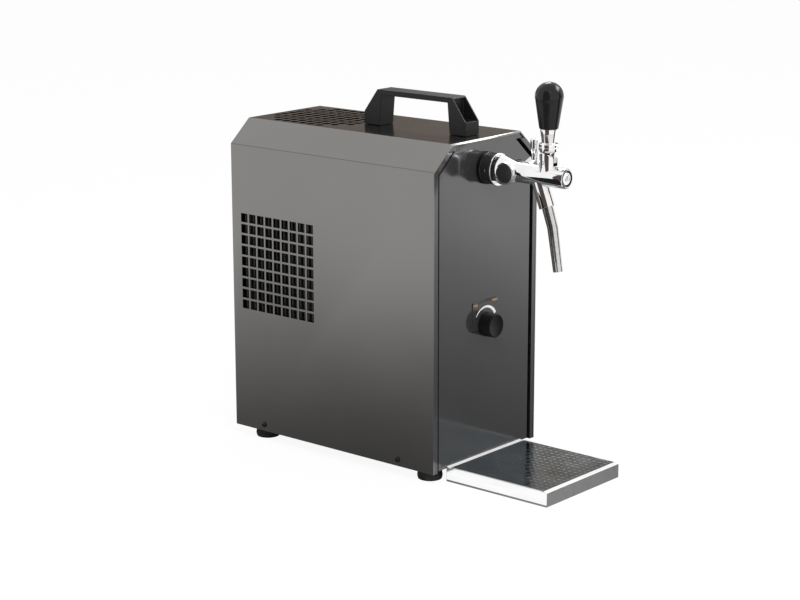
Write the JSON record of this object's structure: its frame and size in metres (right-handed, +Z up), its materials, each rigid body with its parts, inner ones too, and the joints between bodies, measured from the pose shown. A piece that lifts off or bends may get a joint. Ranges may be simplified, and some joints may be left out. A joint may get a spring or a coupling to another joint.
{
  "type": "draft beer dispenser",
  "caption": "Counter-top dry-cooling draft beer dispenser: sheet cabinet with vents and carry handle, side-lever tap on the front, thermostat knob and drip tray.",
  "frame": {"origin": "centre of the bounding box in plan, on the surface that the feet and the tray stand on", "axes": "+Z up, -Y out of the tap side towards the user, +X to the user's right"},
  "size_m": [0.1842, 0.4462, 0.4369],
  "materials": {
    "cover_steel": "dark metallic grey coat, satin",
    "panel_steel": "dark grey, high gloss",
    "zinc_sheet": "zinc plated sheet",
    "black_plastic": "black, fine grain",
    "gloss_black": "black, glossy",
    "rubber": "black, matt",
    "black_screw": "blackened steel",
    "chrome": "polished plate",
    "stainless": "polished stainless",
    "aluminium": "cast and extruded, satin",
    "copper": "drawn copper",
    "foam": "dark closed-cell foam",
    "shell_black": "black enamel",
    "tube_clear": "milky plastic tube",
    "white_plastic": "white, moulded"
  },
  "bodies": {
    "cabinet": {"base_pan": "zinc_sheet", "beer_inlet_fitting": "white_plastic", "beer_line_in": "tube_clear", "beer_line_out": "tube_clear", "body_cap": "gloss_black", "carry_handle": "black_plastic", "collar_set_screw": "chrome", "compressor": "shell_black", "compressor_mount_front_left": "rubber", "compressor_mount_front_right": "rubber", "compressor_mount_rear_left": "rubber", "compressor_mount_rear_right": "rubber", "condenser": "aluminium", "cooling_block": "aluminium", "coupling_nut": "chrome", "cover_screw_front_left": "black_screw", "cover_screw_front_right": "black_screw", "cover_screw_rear_left": "black_screw", "cover_screw_rear_right": "black_screw", "discharge_tube": "copper", "fan_bracket": "zinc_sheet", "fan_motor": "shell_black", "fan_shroud": "zinc_sheet", "filter_drier": "copper", "foot_front_left": "rubber", "foot_front_right": "rubber", "foot_rear_left": "rubber", "foot_rear_right": "rubber", "front_panel": "panel_steel", "front_seal": "rubber", "handle_bolt_front": "zinc_sheet", "handle_bolt_rear": "zinc_sheet", "insulation_box": "foam", "insulation_lid": "foam", "lever_pin": "stainless", "nose_plug": "chrome", "outer_cover": "cover_steel", "panel_collar": "gloss_black", "power_inlet": "black_plastic", "rear_panel": "cover_steel", "scale_plate": "gloss_black", "shank_nut": "zinc_sheet", "spout_sleeve": "chrome", "spout_tube": "stainless", "suction_tube": "copper", "switch_housing": "black_plastic", "tap_body": "chrome", "tap_shank": "stainless", "thermostat_body": "white_plastic"},
    "tap_lever": {"tap_lever": "chrome", "tap_handle": "gloss_black"},
    "valve_spindle": {"valve_spindle": "stainless"},
    "compensator_lever": {"compensator_lever": "chrome"},
    "compensator_cone": {"compensator_cone": "white_plastic"},
    "thermostat_knob": {"thermostat_knob": "black_plastic"},
    "fan": {"fan_blade": "black_plastic"},
    "switch_rocker": {"switch_rocker": "gloss_black"},
    "inlet_collet": {"inlet_collet": "black_plastic"},
    "drip_tray": {"drip_tray": "stainless"},
    "drip_grid": {"drip_grid": "stainless"}
  },
  "joints": [
    {"name": "tap_lever_hinge", "type": "hinge", "parent": "cabinet", "child": "tap_lever", "pos_m": [0, -0.17015, 0.3528], "axis": [1, 0, 0], "range_deg": [-15, 22]},
    {"name": "valve_spindle_slide", "type": "slide", "parent": "cabinet", "child": "valve_spindle", "axis": [0, 1, 0], "range_m": [-0.0037, 0.0053]},
    {"name": "compensator_lever_hinge", "type": "hinge", "parent": "cabinet", "child": "compensator_lever", "pos_m": [0, -0.12285, 0.3367], "axis": [1, 0, 0], "range_deg": [-20, 60]},
    {"name": "compensator_cone_slide", "type": "slide", "parent": "cabinet", "child": "compensator_cone", "axis": [0, 1, 0], "range_m": [-0.0008, 0.0022]},
    {"name": "thermostat_turn", "type": "hinge", "parent": "cabinet", "child": "thermostat_knob", "pos_m": [0, -0.08875, 0.1642], "axis": [0, -1, 0], "range_deg": [-135, 135]},
    {"name": "fan_spin", "type": "hinge", "parent": "cabinet", "child": "fan", "pos_m": [-0.047, 0.13935, 0.21], "axis": [1, 0, 0], "continuous": true},
    {"name": "switch_rocker_hinge", "type": "hinge", "parent": "cabinet", "child": "switch_rocker", "pos_m": [0.06, 0.20815, 0.06], "axis": [1, 0, 0], "range_deg": [0, 18]},
    {"name": "inlet_collet_slide", "type": "slide", "parent": "cabinet", "child": "inlet_collet", "axis": [0, -1, 0], "range_m": [0, 0.0015], "stiffness_N_per_m": 400},
    {"name": "drip_tray_slide", "type": "slide", "parent": "cabinet", "child": "drip_tray", "axis": [0, -1, 0], "range_m": [0, 0.15]},
    {"name": "drip_grid_lift", "type": "slide", "parent": "drip_tray", "child": "drip_grid", "axis": [0, 0, 1], "range_m": [0, 0.03]}
  ],
  "couplings": [
    {"joint": "valve_spindle_slide", "follows": "tap_lever_hinge", "m_per_rad": 0.0135},
    {"joint": "compensator_cone_slide", "follows": "compensator_lever_hinge", "m_per_rad": 0.002}
  ]
}
